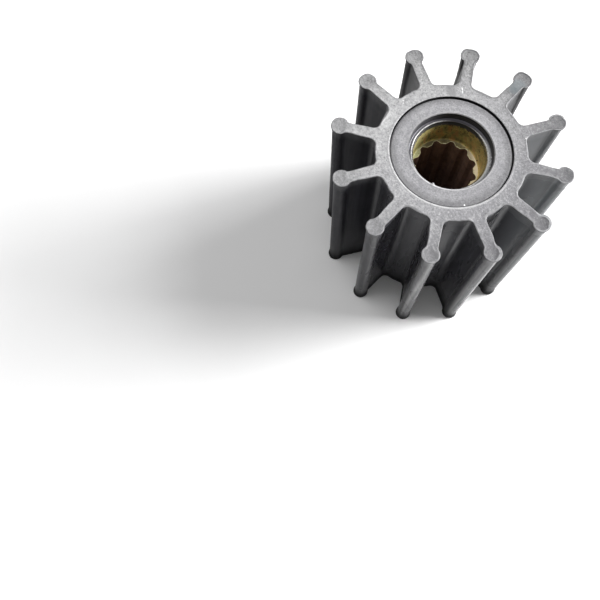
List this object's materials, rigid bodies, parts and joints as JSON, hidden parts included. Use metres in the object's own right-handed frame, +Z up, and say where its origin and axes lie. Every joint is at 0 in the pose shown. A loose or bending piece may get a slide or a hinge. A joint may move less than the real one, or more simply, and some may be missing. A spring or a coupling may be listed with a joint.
{
  "type": "rubber pump impeller",
  "caption": "Flexible-vane pump impeller: a moulded rubber body with straight radial vanes and round tip beads, bonded round a splined brass hub insert.",
  "frame": {"origin": "centre of the lower end face, on the shaft axis", "axes": "+Z up along the shaft axis, towards the end with the plain bore; one vane points along +X"},
  "size_m": [0.065, 0.065, 0.0508],
  "materials": {
    "rubber": "matte moulded rubber, end face a dusty light grey",
    "brass": "machined, dull and tarnished, with a bright edge at the mouth"
  },
  "bodies": {
    "root": {"impeller_body": "rubber", "hub_insert": "brass"}
  },
  "joints": []
}
